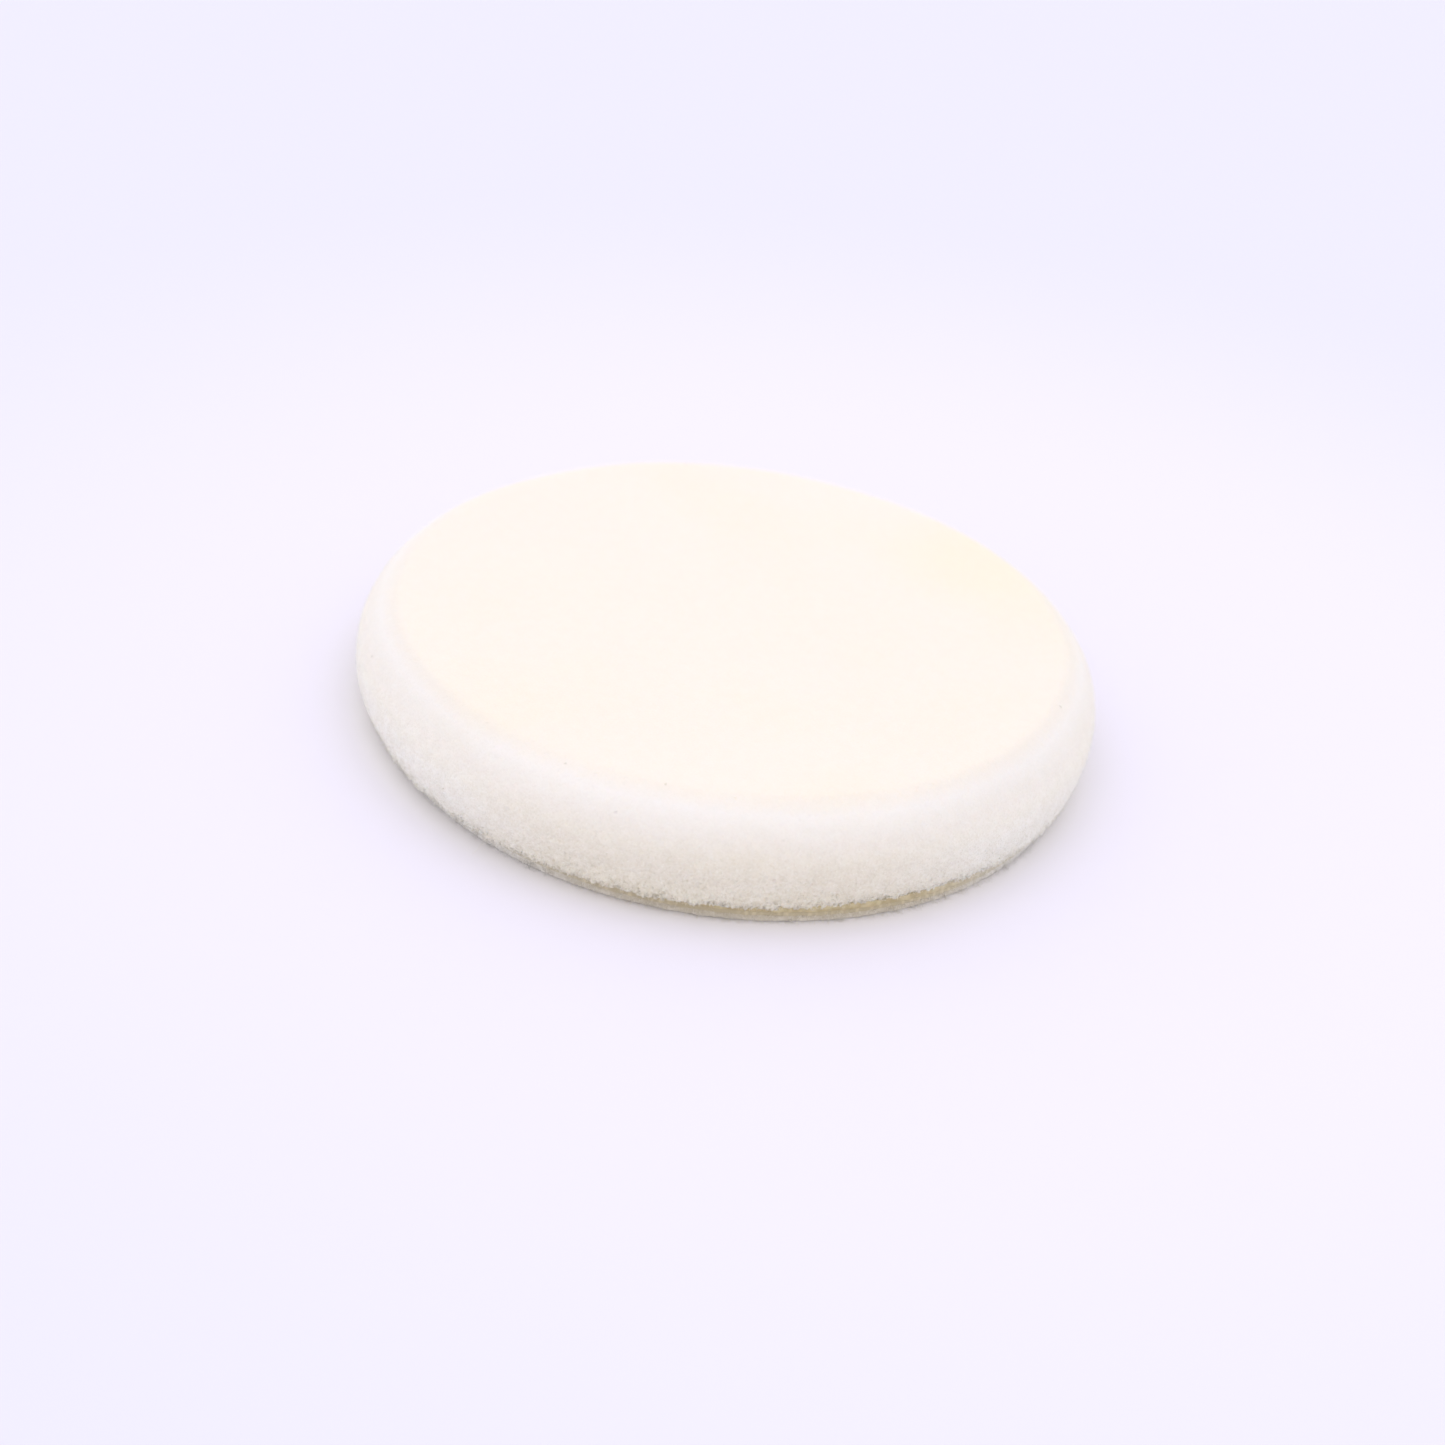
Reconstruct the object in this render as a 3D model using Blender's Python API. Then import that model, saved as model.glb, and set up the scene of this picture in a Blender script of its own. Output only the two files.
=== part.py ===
"""Foam polishing pad for a hook-faced machine backing plate.

A cream foam disc with a flat working face and a rounded shoulder is glued to a loop fabric.
The pad stands on its loop face: z = 0 is the tips of the loops, and +Z leaves the working face.
"""

from math import cos, pi, radians, sin

import bmesh
import bpy

# Driving dimensions, in metres
PAD_RADIUS = 0.0750  # foam at its widest, a 150 mm pad
FOAM_THICKNESS = 0.0200  # cut foam, from the glue side to the working face
FACE_RADIUS = 0.0645  # flat part of the working face
BELLY_DROP = 0.0125  # from the working face down to the widest ring
RIM_INSET = 0.0016  # how far the cut lower rim pulls in from the widest ring
RIM_CUT = 0.0003  # small flat left by the cutting blade at the lower rim

PILE_HEIGHT = 0.0013  # loops, from their tips to the knitted ground
GROUND_THICKNESS = 0.0006  # knitted ground of the loop fabric
FILM_THICKNESS = 0.0004  # hot-melt film between the fabric and the foam
LAYER_GAP = 0.0003  # clearance between two glued layers

PILE_RADIUS = 0.0705
GROUND_RADIUS = 0.0707
FILM_RADIUS = 0.0709
PILE_EDGE_ROUND = 0.0005  # loops at the cut edge lean and round off the lower corner

# Facets
TURN_STEPS = 96
SHOULDER_STEPS = 9
WALL_STEPS = 4
BEAD_STEPS = 4
SHARP_ANGLE = radians(35)

# Heights of the layers, worked out from the thicknesses
GROUND_BOTTOM = PILE_HEIGHT + LAYER_GAP
FILM_BOTTOM = GROUND_BOTTOM + GROUND_THICKNESS + LAYER_GAP
FOAM_BOTTOM = FILM_BOTTOM + FILM_THICKNESS + LAYER_GAP
FOAM_TOP = FOAM_BOTTOM + FOAM_THICKNESS
BELLY_HEIGHT = FOAM_TOP - BELLY_DROP


def clear_scene():
    for thing in list(bpy.data.objects):
        bpy.data.objects.remove(thing, do_unlink=True)


def plain_material(name, colour, roughness, sheen=0.0):
    """A non-metal finish. The colour is linear RGB."""
    material = bpy.data.materials.new(name)
    material.use_nodes = True
    shader = material.node_tree.nodes["Principled BSDF"]
    shader.inputs["Base Color"].default_value = (*colour, 1.0)
    shader.inputs["Roughness"].default_value = roughness
    shader.inputs["Metallic"].default_value = 0.0
    shader.inputs["Sheen Weight"].default_value = sheen
    material.diffuse_color = (*colour, 1.0)
    return material


def foam_material():
    return plain_material("cream_foam", (0.90, 0.85, 0.78), roughness=0.95, sheen=0.2)


def film_material():
    return plain_material("amber_film", (0.40, 0.27, 0.11), roughness=0.45)


def ground_material():
    return plain_material("beige_knit", (0.52, 0.46, 0.36), roughness=0.90, sheen=0.3)


def pile_material():
    return plain_material("loop_pile", (0.72, 0.68, 0.60), roughness=0.85, sheen=0.4)


def quarter(steps):
    """Angles of a quarter turn from straight up to straight out, without the first one."""
    return [pi / 2 * (1 - step / steps) for step in range(1, steps + 1)]


def foam_profile():
    """Half section of the foam, from the middle of the working face down to the middle of the glue side."""
    shoulder_width = PAD_RADIUS - FACE_RADIUS
    points = [(0.0, FOAM_TOP), (FACE_RADIUS, FOAM_TOP)]
    for angle in quarter(SHOULDER_STEPS):
        points.append(
            (FACE_RADIUS + shoulder_width * cos(angle), BELLY_HEIGHT + BELLY_DROP * sin(angle))
        )
    wall_height = BELLY_HEIGHT - FOAM_BOTTOM - RIM_CUT
    for step in range(1, WALL_STEPS + 1):
        share = step / WALL_STEPS
        points.append((PAD_RADIUS - RIM_INSET * share**2, BELLY_HEIGHT - wall_height * share))
    points.append((PAD_RADIUS - RIM_INSET - RIM_CUT, FOAM_BOTTOM))
    points.append((0.0, FOAM_BOTTOM))
    return points


def film_profile():
    """The film's edge is a soft bead, where the melted glue has set."""
    bead = FILM_THICKNESS / 2
    middle = FILM_BOTTOM + bead
    points = [(0.0, FILM_BOTTOM + FILM_THICKNESS)]
    for step in range(BEAD_STEPS + 1):
        angle = pi / 2 - pi * step / BEAD_STEPS
        points.append((FILM_RADIUS - bead + bead * cos(angle), middle + bead * sin(angle)))
    points.append((0.0, FILM_BOTTOM))
    return points


def ground_profile():
    """The knitted ground is punched out with the pad, so its edge is square."""
    top = GROUND_BOTTOM + GROUND_THICKNESS
    return [(0.0, top), (GROUND_RADIUS, top), (GROUND_RADIUS, GROUND_BOTTOM), (0.0, GROUND_BOTTOM)]


def pile_profile():
    """The pile is flat underneath, where the backing plate grips it, and round at its lower corner."""
    points = [(0.0, PILE_HEIGHT), (PILE_RADIUS, PILE_HEIGHT)]
    for step in range(BEAD_STEPS + 1):
        angle = -pi / 2 * step / BEAD_STEPS
        points.append(
            (
                PILE_RADIUS - PILE_EDGE_ROUND + PILE_EDGE_ROUND * cos(angle),
                PILE_EDGE_ROUND + PILE_EDGE_ROUND * sin(angle),
            )
        )
    points.append((0.0, 0.0))
    return points


def turned(name, profile, material, parent):
    """A closed solid of revolution about Z, from a half section given as (radius, height) pairs."""
    section = bmesh.new()
    points = [section.verts.new((radius, 0.0, height)) for radius, height in profile]
    edges = [section.edges.new(pair) for pair in zip(points, points[1:])]
    bmesh.ops.spin(
        section,
        geom=points + edges,
        cent=(0, 0, 0),
        axis=(0, 0, 1),
        dvec=(0, 0, 0),
        angle=2 * pi,
        steps=TURN_STEPS,
        use_merge=True,
    )
    bmesh.ops.remove_doubles(section, verts=section.verts, dist=1e-6)
    bmesh.ops.recalc_face_normals(section, faces=section.faces)
    mesh = bpy.data.meshes.new(name)
    section.to_mesh(mesh)
    section.free()
    mesh.shade_smooth()
    mesh.set_sharp_from_angle(angle=SHARP_ANGLE)
    mesh.materials.append(material)
    piece = bpy.data.objects.new(name, mesh)
    piece.parent = parent
    bpy.context.scene.collection.objects.link(piece)
    return piece


def main():
    clear_scene()
    pad = bpy.data.objects.new("polishing_pad", None)
    bpy.context.scene.collection.objects.link(pad)
    turned("foam_disc", foam_profile(), foam_material(), pad)
    turned("adhesive_film", film_profile(), film_material(), pad)
    turned("backing_cloth", ground_profile(), ground_material(), pad)
    turned("loop_pile", pile_profile(), pile_material(), pad)


main()
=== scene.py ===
"""Looks of a foam polishing pad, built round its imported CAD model.

The pad lies on its loop back, working face up. Each CAD solid gives the size and place of one layer:
the foam disc, the glue film, the knitted ground and the loop pile. This script builds the surface that
each layer really has: open cells and a torn lower rim on the foam, squeezed-out glue, a knitted cloth
with frayed yarn ends, and thousands of small loops.

Lengths are in metres. All random draws are seeded.
"""

from math import cos, pi, radians, sin, tau

import bpy
import numpy as np
from mathutils import Matrix, Vector


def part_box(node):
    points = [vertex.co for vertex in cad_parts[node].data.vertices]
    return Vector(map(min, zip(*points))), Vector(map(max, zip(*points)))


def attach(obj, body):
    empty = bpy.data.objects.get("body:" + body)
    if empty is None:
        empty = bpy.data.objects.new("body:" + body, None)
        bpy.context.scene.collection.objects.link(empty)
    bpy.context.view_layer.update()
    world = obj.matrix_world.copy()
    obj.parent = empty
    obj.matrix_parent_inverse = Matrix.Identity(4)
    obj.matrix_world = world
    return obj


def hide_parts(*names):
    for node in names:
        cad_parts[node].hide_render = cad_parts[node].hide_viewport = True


MM = 0.001
TINY = 1e-9  # keeps the middle of the pad out of divisions by zero

# Foam surface
TURN_SEGMENTS = 1344  # around the shoulder and the side wall, halved again and again on the flat sides
FLANK_SPACING = 0.42 * MM  # between two rings of the shoulder and the side wall
FACE_SPACING = 1.30 * MM  # between two rings of the working face
UNDER_SPACING = 3.0 * MM  # between two rings of the glued side
LARGEST_SEGMENT = 1.30 * MM  # a flat ring whose segments are under half of this gets half as many
CELL_SIZE = 0.95 * MM
CELL_WALL = 0.45  # width of the walls between the cells, in cell sizes
CELL_DEPTH = 0.13 * MM
CLUMP_SIZE = 2.2 * MM
CLUMP_HEIGHT = 0.09 * MM
SAG_SIZE = 22.0 * MM
SAG_HEIGHT = 0.20 * MM
GRAIN_SHIFT = 0.06 * MM  # random sideways shift of each point, so that the rings don't show
GRAIN_HEIGHT = 0.045 * MM  # random height of each point
UNDER_RELIEF = 0.15  # share of the relief on the glued side
# The foam gets rougher from the working face down to the torn rim: height above the rim, and share of
# the relief
ROUGHNESS_BY_HEIGHT = (
    (0.0, 1.6),
    (2.5 * MM, 1.15),
    (8.0 * MM, 0.65),
    (12.0 * MM, 0.55),
    (17.0 * MM, 0.26),
)
TEAR_GRAIN = 0.16 * MM  # random shift of each point in the torn rim
TEAR_SIZES = (2.3 * MM, 0.95 * MM)  # large and small lumps
TEAR_HEIGHT = 0.40 * MM  # of the large lumps, outward
TEAR_SMALL = 0.6  # height of the small lumps against the large ones
TEAR_DOWN = 0.7  # their shift downward against the one outward
TEAR_FULL = 0.3 * MM  # up to here above the rim, the random shift is at its largest
TEAR_REACH = 1.6 * MM  # how far up the wall the torn lower rim reaches
# Where the cut rim hangs lower: direction and half width in degrees, and shift outward and down. On two
# sides it curls in over the fabric, nearly to the table. All directions are counted from +X.
RIM_SAGS = (
    (267.0, 24.0, 0.60 * MM, 0.48 * MM),
    (322.0, 14.0, 0.25 * MM, 0.20 * MM),
    (96.0, 30.0, 0.35 * MM, 0.28 * MM),
    (208.0, 20.0, -1.60 * MM, 2.00 * MM),
    (350.0, 18.0, -0.60 * MM, 1.40 * MM),
)
SAG_REACH = 5.0 * MM  # how far up the wall, and in under the foam, the rim's shifts reach
RIM_WIDTH = 3.0 * MM  # and they are at full strength this far out from the rim's corner
FOAM_SEED = 3
GRAIN_SEED = 5

# Broken foam struts that stand out of the side wall and the torn rim
STRANDS = 7000
STRAND_CLIMB = 1.6 * MM  # mean height above the rim
STRAND_TOP = 14 * MM  # largest height above the rim
STRAND_LENGTH = (0.28 * MM, 0.80 * MM)
STRAND_SHORTER = (0.45, 6 * MM)  # loss of length high on the wall, and height of the full loss
STRAND_ROOT = 0.08 * MM  # how deep the root sits in the foam
STRAND_SWING = (0.55, 0.9, 0.8)  # random lean outward, along the rim and upward
STRAND_LEAN = (0.8, -0.25)  # steady lean outward and upward
STRAND_STEPS = 4
STRAND_SEED = 7
STRAND_RADIUS = 0.06 * MM
STRAND_TAPER = (1.3, 0.45)  # share of the radius at the root and at the tip
STRAND_CURL = 0.45  # sideways swing against the length

# The fabric is cut a little out of round: it reaches further out round this direction, in degrees
FABRIC_REACH = 3.0 * MM
FABRIC_REACH_WAY = 292.0
RECESS_SHADE_SIDE = 282.0  # the glue and the fabric's cut edge are painted darker and more olive round this side, as shade in the recess under the rim, in degrees
FRONT_SHADE_SIDE = 273.0  # the lower side wall is painted darker and warmer round here, as painted shade, in degrees

# Glue
GLUE_SOAK = 0.60 * MM  # how far the glue soaks into the foam above
GLUE_OVERLAP = 0.20 * MM  # and into the cloth below
GLUE_WANDER = 0.22 * MM  # how unevenly its edge comes out
GLUE_SQUARENESS = 0.45  # of its edge: 1 is round, 0 is square

# Loop fabric
LAYER_SEGMENTS = 720
LAYER_EDGE_STEPS = 9
CLOTH_OVERLAP = 0.16 * MM
CLOTH_WANDER = 0.14 * MM
CLOTH_SQUARENESS = 0.3
EDGE_YARN_SIZES = (0.7 * MM, 3.0 * MM)  # of the unevenness along a cut edge
MAT_ROOF = 0.2 * MM  # how far the matted fibres reach into the cloth
MAT_FLOOR = 0.42 * MM  # they fill the pile down to this height above the loop tips
MAT_EDGE_FLOOR = 0.07 * MM  # and hang lower at the cut edge
MAT_FUZZ = 0.13 * MM
MAT_FUZZ_SIZE = 0.6 * MM
MAT_FLARE = 0.05 * MM  # how far the matted edge spreads out at its foot
MAT_SQUARENESS = 0.4
LOOP_PITCH = (1.35 * MM, 1.40 * MM)
LOOP_YARN_RADIUS = 0.085 * MM
LOOP_WIDTH = (0.55 * MM, 0.95 * MM)
LOOP_LEAN = 0.35 * MM
LOOP_LEAN_SPREAD = 0.22 * MM
LOOP_TURN_SPREAD = 0.55  # of the direction that a loop faces, in radians
LOOP_TIP_SPREAD = 0.28 * MM  # how unevenly the tips hang
LOOP_PLACE_SPREAD = 0.12 * MM
LOOP_BELLY = 0.55  # how much a loop widens below its feet
LOOP_BLUNTNESS = 0.7  # 1 is a half circle, and less hangs down more squarely
RIM_BAND = 12.0 * MM  # outer band of the pile, whose loops are seen from the side
RIM_LOOPS_IN = 0.3 * MM  # the outermost loops stand this far inside the pile's edge
RIM_LOOPS_OUT = 0.2 * MM  # and none reaches further than this past it
FRAY_ENDS = 4500
FRAY_LENGTH = (0.30 * MM, 1.6 * MM)
FRAY_RADIUS = 0.032 * MM
FRAY_DROOP = 0.35  # fall of a yarn end against its length
FRAY_ROOT_IN = 0.25 * MM  # the yarn ends are rooted this far inside the cloth's edge
FRAY_MARGIN = 0.15 * MM  # and this far from the top and the bottom of the fabric
FRAY_LOW = 1.6  # 1 spreads the roots evenly over the height, and more puts them lower
FRAY_SWING = (0.8, 0.4)  # random lean along the edge and upward
FRAY_SINK = 0.35  # steady lean downward
FRAY_FLOOR = 0.1 * MM  # the lowest that a yarn end hangs
FRAY_STEPS = 4
FRAY_TAPER = (1.2, 0.5)  # share of the radius at the root and at the tip
FRAY_SEED = 31

# Loose fibres that stick out from under the rim: direction in degrees, length, and side swing
LOOSE_FIBRES = (
    (236.0, 5.4 * MM, 0.5 * MM),
    (270.5, 2.2 * MM, -0.2 * MM),
    (24.0, 2.8 * MM, 0.6 * MM),
    (118.0, 3.8 * MM, -0.7 * MM),
    (167.0, 2.6 * MM, 0.4 * MM),
    (312.0, 1.8 * MM, -0.4 * MM),
)
LOOSE_FIBRE_RADIUS = 0.04 * MM
LOOSE_FIBRE_TAPER = (1.1, 0.7)  # share of the radius at the root and at the tip
LOOSE_FIBRE_STEPS = 14
LOOSE_FIBRE_ROOT_IN = 1.0 * MM  # they are rooted this far inside the pile's edge
LOOSE_FIBRE_TIP = 0.12 * MM  # height of the tip
LOOSE_FIBRE_HUMP = 0.35 * MM  # height of the low arch on the way there

# Looks: all colours are linear, and a bare height, radius or texture size is in millimetres.
# Foam tones from the glued side (0) to the working face (1): the foam's cream colour with painted light in
# it. The lower wall is painted lighter against its shade, and the paler band high on the shoulder (0.79 to
# 0.89) is a painted highlight.
FOAM_TONE_HEIGHTS = (3.2, 23.2)
FOAM_TONES_AND_PAINTED_LIGHT = (
    (0.09, (0.926, 0.904, 0.841)),
    (0.19, (0.928, 0.906, 0.851)),
    (0.29, (0.916, 0.891, 0.842)),
    (0.39, (0.907, 0.877, 0.828)),
    (0.54, (0.900, 0.860, 0.800)),
    (0.69, (0.887, 0.835, 0.793)),
    (0.79, (0.892, 0.844, 0.812)),
    (0.89, (0.904, 0.857, 0.847)),
    (1.00, (0.880, 0.800, 0.745)),
)

FOAM_PIT_SIZE = 0.55
FOAM_GRAIN_SIZE = 0.28
FOAM_CLUMP_SIZE = 2.6
FOAM_DRIFT_SIZE = 30.0
FOAM_ROUGH_HEIGHTS = (5.0, 22.5)  # the texture is strongest low on the wall
FOAM_ROUGH_SHARES = (1.15, 0.22)
FOAM_SHADE = (0.88, 0.86, 0.82, 1)  # painted shade in the pits and hollows, with random mottling
FOAM_STRUT_HIGHLIGHT = (0.97, 0.955, 0.915, 1)  # painted highlights on single struts
FOAM_DRIFT = (1.0, 0.985, 0.93, 1)  # tint of broad, slightly creamier parts
FOAM_BUMP = 0.12 * MM

# The lower wall is painted darker and warmer on the side that faces the camera, as painted shade: full
# tint below the first height, none above the second
FRONT_SHADE_HEIGHTS = (9.0, 19.0)
FRONT_SHADE_TINT = (0.938, 0.908, 0.848, 1)

# The shoulder is painted a little greyer on the two sides than at the front, as painted shade: heights
# over which this painted shade fades in and out again, and sideways share of the outward direction over
# which it fades in
SHOULDER_HEIGHTS = ((15.0, 20.0), (22.3, 23.1))
SHOULDER_SIDES = (0.35, 0.85)
SHOULDER_SIDE_SHADE = (0.955, 0.955, 0.957, 1)

# A faint yellowed patch on the working face, near its edge
YELLOWED_MIDDLE = (52, 36, 23)
YELLOWED_REACH = (6.0, 30.0)  # full tint, and no tint
YELLOWED_TINT = (1.0, 0.995, 0.92, 1)

# Where a place counts as near the edge on one side of the pad: facing share, and radius, each from none of
# it to all of it
SIDE_FACING = (0.70, 0.98)
SIDE_RADII = (67.5, 70.5)

# Pairs of tones that a noise mixes, and tints laid round one side as painted shade of the recess under the
# foam's rim
GLUE_THIN = ((0.74, 0.71, 0.66, 1), (0.66, 0.63, 0.57, 1))
# Darker olive-amber glue for that side: the glue's amber with painted shade of the recess
GLUE_AMBER_SHADED = ((0.62, 0.53, 0.33, 1), (0.48, 0.39, 0.22, 1))
GLUE_THICK_SIZE = 1.6
GLUE_FINE_SIZE = 0.35
GLUE_BUMP = 0.1 * MM
KNIT_TONES = ((0.62, 0.57, 0.47, 1), (0.78, 0.73, 0.63, 1))
KNIT_FUZZ = (0.80, 0.76, 0.67, 1)
KNIT_BANDS = (("X", 0.22, 1.2), ("Y", 0.30, 1.6))  # ribs and rows of stitches: way, scale and distortion
# Painted shade of the recess under the rim, laid on the cloth's edge round one side
KNIT_RECESS_SHADE = (0.80, 0.74, 0.60, 1)
KNIT_FUZZ_SIZE = 0.25
KNIT_BUMP = 0.15 * MM
YARN_TONES = ((0.72, 0.68, 0.62, 1), (0.86, 0.83, 0.80, 1))
# Painted shade of the recess under the rim, laid on the yarn round one side
YARN_RECESS_SHADE = (0.77, 0.72, 0.62, 1)
FINE_YARN_TONES = ((0.91, 0.89, 0.86, 1), (0.97, 0.96, 0.95, 1))
FINE_YARN_RECESS_SHADE = (0.90, 0.86, 0.78, 1)
YARN_TONE_SIZE = 1.1
YARN_FIBRE_SIZE = 0.12
YARN_BUMP = 0.03 * MM

# The pile's cut foot is painted pale and lavender, as light thrown up from the bright table
FOOT_BOUNCE_TONE = (0.93, 0.90, 0.91, 1)
FOOT_BOUNCE_SHARE = 0.28
FOOT_BOUNCE_HEIGHT = 1.1
FOOT_BOUNCE_RADII = (69.0, 70.5)

# Stage: the table's tones, and the strength of the light tent
TABLE_NEAR = (0.827, 0.787, 0.912, 1)
# the table's tone far out, painted dimmer as the light falls off
TABLE_FAR_DIMMED = (0.760, 0.740, 0.880, 1)
TABLE_LIGHT_MIDDLE = (40, 20, 0)  # middle of the painted pool of light on the table
TABLE_LIGHT_REACH = (110.0, 300.0)  # distances from it over which the painted light fades to the dimmer far tone
# Tints of the table for the light that the cream foam throws on it: distances from the pad's axis over
# which the tint fades out, and tint
TABLE_GLOWS = (((74.0, 86.0), (1.00, 1.01, 0.96, 1)), ((71.0, 78.5), (1.12, 1.13, 1.06, 1)))
TABLE_HALF_SIDE = 12.0  # in metres
TABLE_GAP = 0.02 * MM  # between the table and the loops' tips
TENT_WALL = 1.103  # at the horizon
TENT_WAIST = -0.795  # change with the square of a direction's height
TENT_TOP = 1.382  # change with the fourth power of a direction's height
TENT_LEAN = (-0.050, 0.123)  # change with a direction's X and Y
BACKDROP = 1.17  # what the camera sees behind the table, as bright as the lit table

# Large odd numbers that stir a lattice cell into a random number, and the bits that are kept
LATTICE_PRIMES = (73856093, 19349663, 83492791, 41729741)
STIR_FACTORS = (73244475, 86028121)
LOW_32_BITS = 0xFFFFFFFF
LOW_24_BITS = 0xFFFFFF

# Camera
CAMERA_LENS_MM = 62.3
CAMERA_ELEVATION = radians(31.46)
CAMERA_ROLL = radians(7.49)
CAMERA_DISTANCE = 6.896  # in pad radii
CAMERA_AIM = (0.0066, 0.0, -0.0448)  # in pad radii from the frame's origin
CAMERA_FOCUS = 0.715  # how far in front of its aim it focuses, on the near side wall, in pad radii
CAMERA_FSTOP = 8.0
CAMERA_SENSOR_MM = 36
CAMERA_CLIP = (0.01, 50)  # in metres


# ---------------------------------------------------------------- noise and mesh helpers


def lattice_random(cell, channel):
    """A fixed number from 0 to 1 for each integer lattice cell, a different one for each channel."""
    x, y, z = (cell[..., axis].astype(np.int64) for axis in range(3))
    for_x, for_y, for_z, for_channel = LATTICE_PRIMES
    mixed = (x * for_x) ^ (y * for_y) ^ (z * for_z) ^ (channel * for_channel)
    for factor in STIR_FACTORS:
        mixed = (((mixed & LOW_32_BITS) >> 15) ^ (mixed & LOW_32_BITS)) * factor
    mixed = (mixed >> 7) & LOW_24_BITS
    return mixed / float(LOW_24_BITS + 1)


def soft_noise(points, size, channel=0):
    """Smooth noise from -1 to 1, whose bumps are about one size across."""
    scaled = points / size
    base = np.floor(scaled).astype(np.int64)
    ease = scaled - base
    ease = ease * ease * (3 - 2 * ease)
    total = np.zeros(len(points))
    for step in np.ndindex(2, 2, 2):
        corner = np.array(step)
        weight = np.prod(np.where(corner, ease, 1 - ease), axis=1)
        total += weight * lattice_random(base + corner, channel)
    return total * 2 - 1


def cell_noise(points, size, channel=0):
    """Distances to the nearest and second nearest of a scatter of cell centres, in cell sizes."""
    scaled = points / size
    base = np.floor(scaled).astype(np.int64)
    nearest = np.full(len(points), 9.0)
    second = nearest.copy()
    for step in np.ndindex(3, 3, 3):
        cell = base + np.array(step) - 1
        jitter = [lattice_random(cell, channel * 3 + axis) for axis in range(3)]
        distance = np.linalg.norm(scaled - cell - np.stack(jitter, axis=1), axis=1)
        second = np.minimum(second, np.maximum(nearest, distance))
        nearest = np.minimum(nearest, distance)
    return nearest, second


def smooth_step(value, low, high):
    """A share that eases from 0 at low to 1 at high."""
    share = np.clip((value - low) / (high - low), 0, 1)
    return share * share * (3 - 2 * share)


def make_mesh(name, vertices, triangles, material, smooth=True):
    """A mesh object from arrays, linked to the scene."""
    mesh = bpy.data.meshes.new(name)
    mesh.vertices.add(len(vertices))
    mesh.vertices.foreach_set("co", np.asarray(vertices, np.float32).ravel())
    mesh.loops.add(3 * len(triangles))
    mesh.loops.foreach_set("vertex_index", np.asarray(triangles, np.int32).ravel())
    mesh.polygons.add(len(triangles))
    mesh.polygons.foreach_set("loop_start", np.arange(0, 3 * len(triangles), 3, dtype=np.int32))
    mesh.polygons.foreach_set("use_smooth", np.full(len(triangles), smooth))
    mesh.update(calc_edges=True)
    mesh.validate()
    mesh.materials.append(material)
    piece = bpy.data.objects.new(name, mesh)
    bpy.context.scene.collection.objects.link(piece)
    return piece


def cad_outline(node):
    """A turned CAD node's half section: (radius, height) corners from top middle to bottom middle."""
    low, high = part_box(node)
    corners = {
        (round(vertex.co.x, 6), round(vertex.co.z, 6))
        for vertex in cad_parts[node].data.vertices
        if abs(vertex.co.y) < 1e-6 and vertex.co.x > -1e-6
    }
    middle = (low.z + high.z) / 2
    return np.array(sorted(corners, key=lambda c: -np.arctan2(c[1] - middle, c[0])))


def smooth_path(corners, lead_in, spacing):
    """Points about one spacing apart on a Catmull-Rom curve through the corners, with a point before them
    as lead_in."""
    lead_out = 2 * corners[-1] - corners[-2]
    ends = np.vstack([lead_in, corners, lead_out])
    dense = []
    for a, b, c, d in zip(ends, ends[1:], ends[2:], ends[3:]):
        for t in np.linspace(0, 1, 16, endpoint=False):
            bend = (2 * a - 5 * b + 4 * c - d) * t**2 + (3 * b - a - 3 * c + d) * t**3
            dense.append(b + ((c - a) * t + bend) / 2)
    dense = np.array([*dense, corners[-1]])
    along = np.concatenate([[0], np.cumsum(np.linalg.norm(np.diff(dense, axis=0), axis=1))])
    wanted = np.linspace(0, along[-1], round(along[-1] / spacing) + 1)
    return np.stack([np.interp(wanted, along, dense[:, axis]) for axis in (0, 1)], axis=1)


def strip(first, first_count, second, second_count):
    """Triangles between two rings of vertices, the second with as many or half as many as the first."""
    i = np.arange(second_count)
    after = (i + 1) % second_count
    if first_count == second_count:
        a, b, c, d = first + i, first + after, second + after, second + i
        return np.concatenate([np.stack([a, d, b], 1), np.stack([b, d, c], 1)])
    a, b, c = first + 2 * i, first + 2 * i + 1, first + (2 * i + 2) % first_count
    near, far = second + i, second + after
    return np.concatenate(
        [np.stack([a, near, b], 1), np.stack([b, near, far], 1), np.stack([b, far, c], 1)]
    )


def turned_rings(section, counts):
    """Points, normals and triangles of a closed turned body. section runs from the top's middle down the
    outer side to the bottom's middle, without the two middles themselves, and counts gives each ring's
    number of segments."""
    points, normals, triangles, starts = [], [], [], []
    slope = np.gradient(section, axis=0)
    slope /= np.linalg.norm(slope, axis=1)[:, None]
    total = 0
    for (radius, height), (out, down), count in zip(section, slope, counts):
        angle = tau * np.arange(count) / count
        flat = np.stack([np.cos(angle), np.sin(angle)], axis=1)
        points.append(np.column_stack([radius * flat, np.full(count, height)]))
        normals.append(np.column_stack([-down * flat, np.full(count, out)]))
        starts.append(total)
        total += count
    for ring in range(len(section) - 1):
        if counts[ring] >= counts[ring + 1]:
            found = strip(starts[ring], counts[ring], starts[ring + 1], counts[ring + 1])
        else:
            found = strip(starts[ring + 1], counts[ring + 1], starts[ring], counts[ring])[:, ::-1]
        triangles.append(found)
    top, bottom = total, total + 1
    points.append([[0, 0, section[0][1]], [0, 0, section[-1][1]]])
    normals.append([[0, 0, 1], [0, 0, -1]])
    i = np.arange(counts[0])
    triangles.append(np.stack([np.full(counts[0], top), i, (i + 1) % counts[0]], 1))
    i = np.arange(counts[-1])
    last = starts[-1]
    triangles.append(
        np.stack([np.full(counts[-1], bottom), last + (i + 1) % counts[-1], last + i], 1)
    )
    return np.vstack(points), np.vstack(normals), np.vstack(triangles)


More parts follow.
